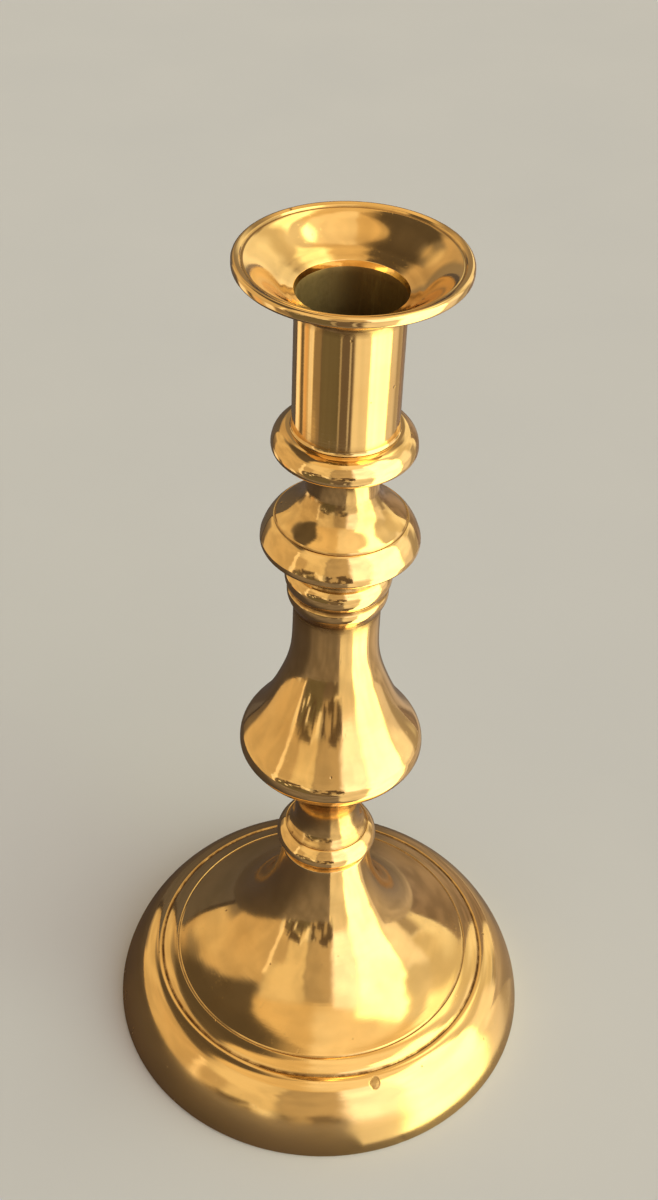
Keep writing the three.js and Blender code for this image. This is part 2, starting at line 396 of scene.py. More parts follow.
def brass(name, color, shade, rough, hollow_darkening=1.0, turning=1.0, wear=1.0, grain=0.0, satin=None):
    """Polished brass that has been cleaned for a century.

    color is the clean metal and shade what blotches turn it to. rough is its roughness, hollow_darkening
    how far the hollows are browned, as tarnished metal and as painted shade in the creases, turning the
    lathe's marks, wear the scratches and specks, and grain a cast skin. Ridges are painted lighter, as
    rubbed wear and as a painted highlight.
    satin gives two radii, in metres: from the first to the second the polish turns soft.
    """
    material = bpy.data.materials.new(name)
    nodes = Nodes(material)
    position = nodes.node("ShaderNodeTexCoord").outputs["Object"]
    hollow = nodes.node("ShaderNodeAttribute", attribute_name="hollow").outputs["Fac"]
    ridge = nodes.node("ShaderNodeAttribute", attribute_name="ridge").outputs["Fac"]

    broad = nodes.noise(position, 45.0, 4.0, 0.6)
    small = nodes.noise(position, 260.0, 4.0, 0.65)
    rings = nodes.noise(round_axis(nodes, position, 0.0012), 1900.0, 2.0)
    wide_rings = nodes.noise(round_axis(nodes, position, 0.004), 420.0, 2.0)

    lines = scratches(nodes, position, (0.5, 0.9, 0.2), 0.02)
    for turn in ((1.9, -0.4, 0.8), (-0.8, 2.2, 1.1)):
        lines = nodes.math("MAXIMUM", lines, scratches(nodes, position, turn, 0.0))
    shifted = nodes.node("ShaderNodeVectorMath", {0: position, 1: (0.37, 0.91, 0.53)}, operation="ADD")
    cells = nodes.node("ShaderNodeTexVoronoi", {"Vector": shifted.outputs[0], "Scale": 240.0})
    chosen = nodes.node("ShaderNodeSeparateColor", {0: cells.outputs["Color"]}).outputs[0]
    near = nodes.ramp(cells.outputs["Distance"], 0.04, 0.09, 1.0, 0.0)
    specks = nodes.math("MULTIPLY", near, nodes.ramp(chosen, 0.80, 0.83))

    blotches = nodes.ramp(broad, 0.42, 0.72)
    # the hollows' mask darkens them: tarnished metal that polishing misses, and painted shade where creases
    # would lie in shadow
    brown = nodes.math("MULTIPLY", hollow, nodes.ramp(small, 0.30, 0.62, 0.45, 1.0))
    brown = nodes.math("MULTIPLY", brown, hollow_darkening, clamp=True)
    tone = nodes.mix(nodes.math("MULTIPLY", blotches, 0.5), color, shade)
    tone = nodes.mix(nodes.math("MULTIPLY", nodes.ramp(wide_rings, 0.45, 0.75), 0.18), tone, shade)
    # ridges painted lighter: partly rubbed wear, partly a painted highlight
    tone = nodes.mix(nodes.math("MULTIPLY", ridge, 0.35), tone, EDGE_WEAR_AND_HIGHLIGHT)
    tone = nodes.mix(brown, tone, TARNISH_AND_SHADE)
    tone = nodes.mix(nodes.math("MULTIPLY", specks, 0.7 * min(1.0, wear)), tone, SPECK)

    gloss = nodes.math("ADD", rough, nodes.ramp(broad, 0.35, 0.75, -0.015, 0.035))
    gloss = nodes.math("ADD", gloss, nodes.ramp(small, 0.40, 0.80, 0.0, 0.035))
    gloss = nodes.math("ADD", gloss, nodes.math("MULTIPLY", lines, 0.08 * wear))
    if satin:
        flat = nodes.node("ShaderNodeVectorMath", {0: position, 1: (1, 1, 0)}, operation="MULTIPLY")
        radius = nodes.node("ShaderNodeVectorMath", {0: flat.outputs[0]}, operation="LENGTH").outputs["Value"]
        worn = nodes.math("MULTIPLY", nodes.ramp(radius, *satin), nodes.ramp(broad, 0.30, 0.70, 0.7, 1.0))
        gloss = nodes.math("ADD", gloss, nodes.math("MULTIPLY", worn, 0.15))
    gloss = nodes.math("ADD", gloss, nodes.math("MULTIPLY", brown, 0.30), clamp=True)

    height = nodes.math("MULTIPLY", rings, RING_HEIGHT * turning)
    height = nodes.math("ADD", height, nodes.math("MULTIPLY", lines, -SCRATCH_DEPTH * wear))
    height = nodes.math("ADD", height, nodes.math("MULTIPLY", specks, -SPECK_DEPTH * wear))
    height = nodes.math("ADD", height, nodes.math("MULTIPLY", small, SKIN_HEIGHT + CAST_HEIGHT * grain))
    height = nodes.math("ADD", height, nodes.math("MULTIPLY", broad, WAVE_HEIGHT))
    normal = nodes.node("ShaderNodeBump", {"Height": height, "Distance": 1.0, "Strength": 1.0}).outputs[0]
    shader = nodes.node(
        "ShaderNodeBsdfPrincipled",
        {"Base Color": tone, "Roughness": gloss, "Normal": normal, "Metallic": 1.0},
    )
    nodes.node("ShaderNodeOutputMaterial", {0: shader.outputs[0]})
    return material


def bore_brass():
    """The socket's inside: never polished, olive brown, streaked by candles, and painted lighter on the left,
    where the window's light falls in.
    """
    material = bpy.data.materials.new("bore_brass")
    nodes = Nodes(material)
    position = nodes.node("ShaderNodeTexCoord").outputs["Object"]
    streaks = nodes.noise(nodes.place(position, (1, 1, 0.09)), 420.0, 4.0, 0.7)
    patches = nodes.noise(position, 150.0, 4.0, 0.6)
    # painted light: the left of the bore is lighter, as lit by the window, and the right is left dark
    side = nodes.node("ShaderNodeSeparateXYZ", {0: position}).outputs[0]
    window_lit_side = nodes.ramp(side, -0.0075, 0.002, 1.0, 0.0)
    tone = nodes.mix(window_lit_side, (0.22, 0.15, 0.07, 1), (0.66, 0.56, 0.30, 1))
    tone = nodes.mix(nodes.ramp(patches, 0.35, 0.70, 0.0, 0.6), tone, (0.14, 0.09, 0.04, 1))
    tone = nodes.mix(nodes.ramp(streaks, 0.50, 0.75, 0.0, 0.4), tone, (0.50, 0.40, 0.18, 1))
    gloss = nodes.ramp(patches, 0.30, 0.75, 0.34, 0.50)
    height = nodes.math("MULTIPLY", streaks, 0.00012)
    normal = nodes.node("ShaderNodeBump", {"Height": height, "Distance": 1.0, "Strength": 0.8}).outputs[0]
    shader = nodes.node(
        "ShaderNodeBsdfPrincipled",
        {"Base Color": tone, "Roughness": gloss, "Normal": normal, "Metallic": 0.8},
    )
    nodes.node("ShaderNodeOutputMaterial", {0: shader.outputs[0]})
    return material


def rusted_iron():
    """Drawn iron rod: dark, with rust blooming through."""
    material = bpy.data.materials.new("rod_iron")
    nodes = Nodes(material)
    position = nodes.node("ShaderNodeTexCoord").outputs["Object"]
    drawn = nodes.noise(nodes.place(position, (1, 1, 0.03)), 1500.0, 3.0)
    blooms = nodes.noise(position, 190.0, 5.0, 0.7)
    rust = nodes.ramp(blooms, 0.50, 0.66)
    tone = nodes.mix(nodes.ramp(drawn, 0.3, 0.7), (0.13, 0.12, 0.11, 1), (0.22, 0.20, 0.18, 1))
    tone = nodes.mix(rust, tone, (0.19, 0.065, 0.022, 1))
    gloss = nodes.math("ADD", nodes.ramp(drawn, 0.3, 0.7, 0.34, 0.44), nodes.math("MULTIPLY", rust, 0.45))
    height = nodes.math("ADD", nodes.math("MULTIPLY", drawn, 0.00002), nodes.math("MULTIPLY", rust, 0.00006))
    normal = nodes.node("ShaderNodeBump", {"Height": height, "Distance": 1.0, "Strength": 1.0}).outputs[0]
    metal = nodes.math("SUBTRACT", 1.0, nodes.math("MULTIPLY", rust, 0.9))
    shader = nodes.node(
        "ShaderNodeBsdfPrincipled",
        {"Base Color": tone, "Roughness": gloss, "Normal": normal, "Metallic": metal},
    )
    nodes.node("ShaderNodeOutputMaterial", {0: shader.outputs[0]})
    return material


GOLD = (0.94, 0.67, 0.31, 1)
DEEP_GOLD = (0.87, 0.57, 0.225, 1)
DULL = (0.50, 0.31, 0.11, 1)
BROWN = (0.27, 0.15, 0.06, 1)

FOOT_BRASS = brass("foot_brass", GOLD, DEEP_GOLD, 0.085, satin=(0.0455, 0.0505))
STEM_BRASS = brass("stem_brass", GOLD, DEEP_GOLD, 0.065, hollow_darkening=0.9, turning=0.8)
SOCKET_BRASS = brass("socket_brass", GOLD, DEEP_GOLD, 0.065, hollow_darkening=0.9, turning=0.8)
CAST_BRASS = brass("cast_brass", DULL, BROWN, 0.50, hollow_darkening=1.4, turning=0.4, wear=0.5, grain=1.0)
FIXING_BRASS = brass("fixing_brass", DULL, BROWN, 0.36, hollow_darkening=1.2, turning=1.5, wear=1.5, grain=0.15)
EJECTOR_BRASS = brass("ejector_brass", DULL, BROWN, 0.34, hollow_darkening=1.2, turning=1.5, wear=1.5, grain=0.1)
BORE_BRASS = bore_brass()
ROD_IRON = rusted_iron()


# ---------------------------------------------------------------- the foot

PIT = (19.5, 43.4)  # degrees round from the front, and radius, of the pit in the foot's shoulder
PIT_RADIUS = 1.15
PIT_DEPTH = 0.07
CHIP = (25.2, 1.6)  # degrees round, and height, of the small dent in the lower edge
CHIP_SPREAD = 0.8
CHIP_DEPTH = 0.25


def in_pit(point):
    """1 in the foot's pit and 0 outside it, with an uneven edge."""
    if point.z < SHOULDER[1] - 3:
        return 0.0
    bearing = math.radians(PIT[0])
    spot = Vector((PIT[1] * math.sin(bearing), -PIT[1] * math.cos(bearing)))
    edge = PIT_RADIUS * (1 + 0.35 * noise.noise(point / 1.3))
    return min(1.0, max(0.0, (edge - (point.to_2d() - spot).length) / 0.4 + 0.5))


def pit_stain(point, angle):
    """The dirt that fills the pit."""
    return 2.0 * in_pit(point)


def foot_marks(point, angle):
    """The foot's slight waves, its pit and its dented edge."""
    depth = PIT_DEPTH * in_pit(point)
    point = uneven(0.045, 26.0, 1)(point, angle)
    point.z -= depth
    aside = (math.degrees(angle) - CHIP[0]) / CHIP_SPREAD
    above = (point.z - CHIP[1]) / CHIP_SPREAD
    if point.to_2d().length > FOOT_RADIUS - FOOT_RIM / 2:
        inwards = Vector((-math.sin(angle), math.cos(angle), 0))
        point += inwards * CHIP_DEPTH * math.exp(-(aside ** 2) - above ** 2)
    return point


def base_foot():
    """The hollow foot, polished outside and as cast inside."""
    edge = 0.5
    rim_inside = FOOT_RADIUS - FOOT_RIM
    outside = [(rim_inside, 0), (FOOT_RADIUS - edge, 0)]
    outside += bend(
        (FOOT_RADIUS, edge),
        (FOOT_RADIUS, edge + 5),
        off(SHOULDER, 5.5, -0.6),
        SHOULDER,
        90,
    )
    # the outer line, the rounded step up from it, and the inner line
    outside += [off(SHOULDER, -0.4, -0.03), off(SHOULDER, -0.56, -0.14), off(SHOULDER, -0.7, -0.02)]
    outside += bend(
        off(SHOULDER, -0.8, 0.1),
        off(SHOULDER, -1.5, 0.72),
        off(SHOULDER, -2.6, 1.3),
        off(DOME, 0.5, -0.14),
        12,
    )
    outside += [off(DOME, 0.32, -0.1), off(DOME, 0.14, -0.19), off(DOME, -0.04, -0.12)]
    outside += bend(off(DOME, -0.3, 0.08), (20, 23.8), (11, 40), (NECK_RADIUS, NECK_TOP), 56)
    inside = [(TENON_HOLE, NECK_TOP), (TENON_HOLE, LEDGE[1]), LEDGE]
    inside += bend(off(LEDGE, 0.4, -5), off(LEDGE, 3, -13), (20, 21), off(DOME, 0, -FOOT_WALL), 20)
    inside += bend(
        off(SHOULDER, 0, -FOOT_WALL),
        off(SHOULDER, 4, -FOOT_WALL - 1),
        (rim_inside, edge + 4),
        (rim_inside, edge + 1.5),
        16,
    )
    return turned(
        "foot",
        [(outside, 0), (inside, 1)],
        [FOOT_BRASS, CAST_BRASS],
        176,
        "candlestick",
        "base_foot",
        corner=0.2,
        longest=1.2,
        shape=foot_marks,
        marks=[(PIT[0], 2.2), (CHIP[0], 2.4)],
        stain=pit_stain,
    )


# ---------------------------------------------------------------- the stem

def grime(point, height, spread):
    """How near a point lies to the middle of a grimy zone: 1 there, and less and less away from it."""
    return math.exp(-((point.z - height) / spread) ** 2)


def neck_grime(point, angle):
    """Tarnish in the lower neck and under the bead, where a cloth hardly reaches."""
    return 0.45 * grime(point, LOWER_NECK[1], 3.2) + 0.38 * grime(point, BEAD[1] - 4.6, 2.4)


def stem_thread(point, angle):
    """The stem's slight waves, and the thread on its tenon."""
    if point.z > FLANGE - 1:
        return uneven(0.05, 17.0, 2)(point, angle)
    radius = point.to_2d().length
    if radius < TENON_RADIUS - 0.5 or point.z > WASHER_FOOT:
        return point
    turn = (point.z / THREAD_PITCH - angle / (2 * math.pi)) % 1.0
    ramp = min(1.0, (point.z - TENON_FOOT) / THREAD_PITCH)
    depth = THREAD_DEPTH * abs(2 * turn - 1) * ramp
    outwards = Vector((math.sin(angle), -math.cos(angle), 0))
    return point - outwards * depth


def tenon_outline():
    """The tenon's outside, with a point wherever the thread's crest or root may fall."""
    length = WASHER_FOOT - TENON_FOOT
    steps = 8 * round(length / THREAD_PITCH)
    outline = [(TENON_BORE, TENON_FOOT), (TENON_RADIUS, TENON_FOOT)]
    outline += [(TENON_RADIUS, TENON_FOOT + length * (k + 1) / steps) for k in range(steps)]
    outline += [(TENON_RADIUS, FLANGE)]
    return outline


def stem_baluster():
    """The stem, from the tenon up to the cup ring that the socket stands in."""
    outside = [(NECK_RADIUS, FLANGE), (NECK_RADIUS, FLANGE + 1.3)]
    outside += arc(off(LOWER_RING, -1.6), 1.6, 1.5, -60, 0, 10)
    outside += bend(
        LOWER_RING,
        off(LOWER_RING, -0.07, 1.4),
        off(ARRIS, 1.5, -1.1),
        off(ARRIS, 0.55, -0.38),
        14,
    )[1:]
    outside += [off(ARRIS, 0.38, -0.5), off(ARRIS, 0.22, -0.36), ARRIS]
    outside += bend(off(ARRIS, -0.4, 0.4), off(LOWER_NECK, 0.2, -5.1), off(LOWER_NECK, 0, -3), LOWER_NECK, 14)
    outside += bend(LOWER_NECK, off(LOWER_NECK, 0, 2.5), off(PEAR_FOOT, -0.7, -1.1), PEAR_FOOT, 8)[1:]
    outside += bend(PEAR_FOOT, off(PEAR_FOOT, 4.6, 7.2), off(PEAR, 0, -2.5), PEAR, 22)[1:]
    outside += bend(PEAR, off(PEAR, 0, 4.3), off(PEAR_FLANK, 3.9, -9.3), PEAR_FLANK, 20)[1:]
    outside += bend(PEAR_FLANK, off(PEAR_FLANK, -3.9, 9.3), off(UPPER_NECK, 0, -7.2), UPPER_NECK, 20)[1:]
    # the bead under the collar, and the collar
    outside += bend((UPPER_NECK[0], BEAD[1] - 4.0), off(BEAD, -1.3, -3.3), off(BEAD, 0, -1.9), BEAD, 12)
    outside += [off(BEAD, -0.08, 0.6), off(BEAD, -0.3, 1.0), off(BEAD, -0.42, 1.2)]
    outside += arc(off(COLLAR, -1.9), 1.9, 3.0, -60, 68, 20)
    # the spool up to the knop's undercut, and the knop with its incised line
    outside += [off(SPOOL, 0.05, -1.1), off(SPOOL, 0, -0.7), off(SPOOL, 0, 0.9)]
    outside += bend(
        off(SPOOL, 0.1, 1.5),
        off(SPOOL, 0.5, 2.5),
        off(KNOP, -5.6, -2.4),
        off(KNOP, -4.2, -2.2),
        8,
    )
    outside += arc(off(KNOP, -1.6), 1.6, 1.3, -70, 0, 10)
    outside += bend(
        off(KNOP, -0.05, 0.8),
        off(KNOP, -0.6, 2.6),
        off(KNOP, -1.6, 4.6),
        off(KNOP, -2.75, 5.55),
        16,
    )
    outside += [off(KNOP, -2.95, 5.48), off(KNOP, -3.08, 5.55)]
    outside += bend(off(KNOP, -3.25, 5.9), off(KNOP, -5.6, 8), off(TOP_NECK, 0.4, -4.5), TOP_NECK, 20)
    # the cup ring
    outside += bend(
        TOP_NECK,
        off(TOP_NECK, 0.0, 2.5),
        off(CUP_RING, -7.0, -3.6),
        off(CUP_RING, -5.0, -2.2),
        14,
    )[1:]
    outside += [off(CUP_RING, -3.4, -2.05)]
    outside += arc(off(CUP_RING, -3.6), 3.6, 2, -60, 0, 10)
    outside += arc(off(CUP_RING, -3.6), 3.6, SEAT_TOP - CUP_RING[1], 5, 88, 20)
    outside += [(SEAT_RADIUS, SEAT_TOP)]
    inside = [
        (SPIGOT_BORE[0], SEAT_TOP),
        SPIGOT_BORE,
        (CORE, SPIGOT_BORE[1]),
        (CORE, PEAR[1] + 16),
        (PEAR_CORE, PEAR[1] + 6),
        (PEAR_CORE, PEAR[1] - 6),
        (CORE, PEAR[1] - 14),
        (CORE, LOWER_RING[1] + 1),
        (TENON_BORE, LOWER_RING[1] - 1),
    ]
    return turned(
        "stem",
        [(tenon_outline(), 1), (outside, 0), (inside, 1)],
        [STEM_BRASS, CAST_BRASS],
        144,
        "candlestick",
        "stem_baluster",
        corner=0.16,
        longest=1.6,
        shape=stem_thread,
        stain=neck_grime,
    )


# ---------------------------------------------------------------- the socket and its drip pan

def candle_socket():
    """The tube and its drip pan, with the spigot that holds it in the stem."""
    pan_under = PAN_TOP - PAN_EDGE
    spigot = [
        (SPIGOT_BORE_RADIUS, SPIGOT_FOOT),
        (SPIGOT_RADIUS, SPIGOT_FOOT),
        (SPIGOT_RADIUS, SOCKET_FOOT),
    ]
    outside = bend(
        (SEAT_RADIUS, SOCKET_FOOT),
        (TUBE_RADIUS + 0.12, SOCKET_FOOT + 0.1),
        (TUBE_RADIUS, SOCKET_FOOT + 0.4),
        (TUBE_RADIUS, SOCKET_FOOT + 1.0),
        8,
    )
    outside += bend(
        (TUBE_RADIUS, MOUTH[1] - 3.4),
        (TUBE_RADIUS + 0.05, MOUTH[1] - 1),
        (PAN_RADIUS - 7.7, pan_under - 3),
        (PAN_RADIUS - 0.9, pan_under),
        28,
    )
    outside += arc((PAN_RADIUS - 0.8, pan_under + 0.8), 0.8, 0.8, -60, 0, 6)
    outside += arc((PAN_RADIUS - 0.8, PAN_TOP - 0.8), 0.8, 0.8, 0, 90, 8)
    # inside: the incised line, the pan's slope, and the soft land round the mouth
    pan = [
        (PAN_RADIUS - 1.5, PAN_TOP - 0.24),
        (PAN_RADIUS - 1.8, PAN_TOP - 0.58),
        (PAN_RADIUS - 2.0, PAN_TOP - 0.62),
    ]
    pan += bend(
        (PAN_RADIUS - 2.25, PAN_TOP - 0.56),
        (PAN_RADIUS - 5.2, PAN_TOP - 2.1),
        (PAN_RADIUS - 6.9, PAN_TOP - 4.4),
        (MOUTH[0] + 2.2, MOUTH[1] + 1.1),
        22,
    )
    pan += [(MOUTH[0] + 1.0, MOUTH[1] + 0.45), MOUTH, (MOUTH[0] - 0.3, MOUTH[1] - LIP)]
    bore = [
        (MOUTH[0] - 0.4, MOUTH[1] - LIP - 0.3),
        THROAT,
        (BORE_FOOT, BORE_FLOOR + 1),
        (BORE_FOOT - 1, BORE_FLOOR),
        (SPIGOT_BORE_RADIUS, BORE_FLOOR),
    ]
    return turned(
        "socket",
        [(spigot, 1), (outside, 0), (pan, 0), (bore, 2)],
        [SOCKET_BRASS, CAST_BRASS, BORE_BRASS],
        152,
        "candlestick",
        "candle_socket",
        corner=0.16,
        longest=1.2,
        shape=uneven(0.03, 20.0, 3),
    )


# ---------------------------------------------------------------- the fixing under the foot

def tenon_washer():
    """The washer between the foot and the nut."""
    hole = TENON_HOLE
    bevel = 0.3
    outline = [
        (hole, WASHER_FOOT + bevel),
        (hole + bevel, WASHER_FOOT),
        (WASHER_RADIUS - bevel, WASHER_FOOT),
        (WASHER_RADIUS, WASHER_FOOT + bevel),
        (WASHER_RADIUS, WASHER_TOP - bevel),
        (WASHER_RADIUS - bevel, WASHER_TOP),
        (hole, WASHER_TOP),
    ]
    return turned(
        "washer",
        [(outline, 0)],
        [FIXING_BRASS],
        72,
        "candlestick",
        "tenon_washer",
        shape=uneven(0.04, 9.0, 4),
    )


def tenon_nut():
    """A hexagonal nut whose corners are turned off to a cone above and below."""
    half_flats = NUT_CORNER * math.cos(math.pi / 6)
    cone = math.radians(28)
    corner_cut = 0.12
    hole = TENON_HOLE
    lead = 0.5
    face_radius = half_flats * 0.96
    steps = 16
    rows = []
    for i in range(6 * steps):
        angle = 2 * math.pi * i / (6 * steps)
        across = (angle % (math.pi / 3)) - math.pi / 6
        reach = min(half_flats / math.cos(across), NUT_CORNER - corner_cut)
        drop = (reach - face_radius) * math.tan(cone)
        profile = [
            (hole, NUT_FOOT + lead),
            (hole + lead, NUT_FOOT),
            (face_radius, NUT_FOOT),
            (reach - 0.08, NUT_FOOT + drop),
            (reach, NUT_FOOT + drop + 0.1),
            (reach, NUT_TOP - drop - 0.1),
            (reach - 0.08, NUT_TOP - drop),
            (face_radius, NUT_TOP),
            (hole + lead, NUT_TOP),
            (hole, NUT_TOP - lead),
        ]
        rows.append([Vector((r * math.cos(angle), r * math.sin(angle), z)) for r, z in profile])
    per_row = len(rows[0])
    vertices = [v for row in rows for v in row]
    faces = []
    for i in range(len(rows)):
        k = (i + 1) % len(rows)
        for j in range(per_row):
            m = (j + 1) % per_row
            faces.append([i * per_row + j, k * per_row + j, k * per_row + m, i * per_row + m])
    nut = finish_mesh(
        "nut",
        vertices,
        faces,
        [FIXING_BRASS],
        [0] * len(faces),
        "candlestick",
        "tenon_nut",
    )
    nut.data.set_sharp_from_angle(angle=math.radians(24))
    return nut


# ---------------------------------------------------------------- the ejector

def ejector_plate():
    """The disc that the candle stands on, slightly dished round the rod's head."""
    dish = 0.25
    hole = 1.9
    outline = [
        (hole, PLATE_FOOT),
        (PLATE_RADIUS - 0.9, PLATE_FOOT),
        (PLATE_RADIUS, PLATE_FOOT + 0.6),
        (PLATE_RADIUS, PLATE_TOP),
        (PLATE_RADIUS - 0.8, PLATE_TOP),
        (PLATE_RADIUS - 1.6, PLATE_TOP - dish),
        (HEAD_RADIUS + 0.8, PLATE_TOP - dish),
        (HEAD_RADIUS + 0.3, PLATE_TOP),
        (hole, PLATE_TOP),
    ]
    return turned(
        "ejector_disc",
        [(outline, 0)],
        [EJECTOR_BRASS],
        72,
        "ejector",
        "ejector_plate",
        corner=0.12,
    )


def ejector_rod():
    """The rod down the cored stem, with the riveted head over the plate."""
    head_foot = PLATE_TOP + 0.1
    outline = [(0, ROD_FOOT), (ROD_RADIUS - 0.3, ROD_FOOT), (ROD_RADIUS, ROD_FOOT + 0.4)]
    outline += [(ROD_RADIUS, head_foot), (HEAD_RADIUS - 0.1, head_foot)]
    outline += arc((0, head_foot + 0.1), HEAD_RADIUS, HEAD_TOP - head_foot - 0.1, 0, 90, 8)
    outline[-1] = (0, HEAD_TOP)

    def drawn(point, angle):
        return uneven(0.035, 6.0, 5)(point, angle) if point.z < head_foot else point

    return turned(
        "rod",
        [(outline, 0)],
        [ROD_IRON],
        36,
        "ejector",
        "ejector_rod",
        corner=0.08,
        longest=3.0,
        shape=drawn,
    )


def ejector_button():
    """The domed button that is pressed from below, with the boss that takes the rod."""
    hole = ROD_RADIUS + 0.3
    blind_end = ROD_FOOT - 0.3
    rim_top = BUTTON_FOOT + 3.6
    boss = 4.0
    outline = [(0, BUTTON_FOOT)]
    outline += bend(
        (BUTTON_RADIUS * 0.3, BUTTON_FOOT + 0.03),
        (BUTTON_RADIUS * 0.75, BUTTON_FOOT + 0.15),
        (BUTTON_RADIUS, BUTTON_FOOT + 0.8),
        (BUTTON_RADIUS, BUTTON_FOOT + 1.8),
        12,
    )
    outline += [
        (BUTTON_RADIUS, rim_top - 0.6),
        (BUTTON_RADIUS - 0.8, rim_top),
        (boss + 0.8, rim_top + 0.3),
        (boss, rim_top + 1.0),
        (boss, BUTTON_TOP - 0.5),
        (boss - 0.5, BUTTON_TOP),
        (hole, BUTTON_TOP),
        (hole, blind_end),
        (0, blind_end),
    ]
    return turned(
        "push_button",
        [(outline, 0)],
        [EJECTOR_BRASS],
        72,
        "ejector",
        "ejector_button",
        corner=0.3,
    )


base_foot()
stem_baluster()
candle_socket()
tenon_washer()
tenon_nut()
ejector_plate()
ejector_rod()
ejector_button()


# ---------------------------------------------------------------- floor, light and camera

def pale_floor():
    """A round sweep: a flat floor that turns up into a low wall, far from the candlestick."""
    material = bpy.data.materials.new("pale_floor")
    nodes = Nodes(material)
    position = nodes.node("ShaderNodeTexCoord").outputs["Object"]
    mottle = nodes.noise(position, 14.0, 4.0)
    tone = nodes.mix(mottle, (0.54, 0.62, 0.88, 1), (0.58, 0.66, 0.92, 1))
    shader = nodes.node("ShaderNodeBsdfPrincipled", {"Base Color": tone, "Roughness": 0.9})
    nodes.node("ShaderNodeOutputMaterial", {0: shader.outputs[0]})
    radius, sweep, wall = 2.4, 0.8, 3.0
    profile = [(0.0, 0.0), (radius - sweep, 0.0)]
    profile += arc((radius - sweep, sweep), sweep, sweep, -90, 0, 16)[1:]
    profile += [(radius, wall)]
    sides = 96
    vertices = [(0.0, 0.0, 0.0)]
    for r, z in profile[1:]:
        vertices += [
            (r * math.cos(2 * math.pi * n / sides), r * math.sin(2 * math.pi * n / sides), z)
            for n in range(sides)
        ]
    faces = [[0, 1 + n, 1 + (n + 1) % sides] for n in range(sides)]
    for ring in range(len(profile) - 2):
        start = 1 + ring * sides
        for n in range(sides):
            m = (n + 1) % sides
            faces.append([start + n, start + sides + n, start + sides + m, start + m])
    mesh = bpy.data.meshes.new("floor")
    mesh.from_pydata(vertices, [], faces)
    mesh.materials.append(material)
    mesh.polygons.foreach_set("use_smooth", [True] * len(faces))
    floor = bpy.data.objects.new("floor", mesh)
    bpy.context.scene.collection.objects.link(floor)
    floor.visible_glossy = False  # the metal mirrors the studio, and not the bare floor
    floor.visible_diffuse = False
    floor.visible_shadow = False


def dark_cloth():
    """A cloth under the candlestick and up behind it, cut back towards the window.

    Only the metal shows it, as a mirror does. It is painted paler to the front and to the right, as painted
    light from the window, and darker behind, to the left and in its folds, as painted shade.
    """
    material = bpy.data.materials.new("dark_cloth")
    nodes = Nodes(material)
    position = nodes.node("ShaderNodeTexCoord").outputs["Object"]
    across, deep = nodes.node("ShaderNodeSeparateXYZ", {0: position}).outputs[:2]
    # painted light and shade: paler to the front, palest to the right where the window lights it, dark behind
    # and to the left
    near = nodes.ramp(deep, -0.12, -0.03, 1.0, 0.0)
    tone = nodes.mix(near, (0.075, 0.07, 0.11, 1), (0.26, 0.25, 0.33, 1))
    tone = nodes.mix(nodes.ramp(across, 0.0, 0.12), tone, (0.58, 0.56, 0.72, 1))
    # painted shade in the cloth's folds
    painted_fold_shade = nodes.ramp(nodes.noise(position, 22.0, 3.0), 0.35, 0.70, 0.0, 0.4)
    tone = nodes.mix(painted_fold_shade, tone, (0.04, 0.04, 0.06, 1))
    shader = nodes.node("ShaderNodeBsdfPrincipled", {"Base Color": tone, "Roughness": 0.9})
    nodes.node("ShaderNodeOutputMaterial", {0: shader.outputs[0]})
    wide, narrow = 0.24, 0.052
    below = -0.0005
    behind = 0.25
    hem = 1.1
    vertices = [(0.0, 0.0, below)]
    for degrees in range(-180, 180, 3):
        reach = narrow if 14 < degrees < 97 else wide
        rise = behind if abs(degrees) > 132 else below
        x = reach * math.sin(math.radians(degrees))
        y = -reach * math.cos(math.radians(degrees))
        vertices += [(x, y, below), (hem * x, hem * y, rise)]
    sides = (len(vertices) - 1) // 2
    faces = []
    for n in range(sides):
        low, high = 1 + 2 * n, 2 + 2 * n
        next_low, next_high = 1 + 2 * ((n + 1) % sides), 2 + 2 * ((n + 1) % sides)
        faces += [[0, low, next_low], [low, high, next_high, next_low]]
    mesh = bpy.data.meshes.new("cloth")
    mesh.from_pydata(vertices, [], faces)
    mesh.materials.append(material)
    cloth = bpy.data.objects.new("cloth", mesh)
    bpy.context.scene.collection.objects.link(cloth)
    cloth.visible_camera = False
    cloth.visible_diffuse = False
    cloth.visible_shadow = False


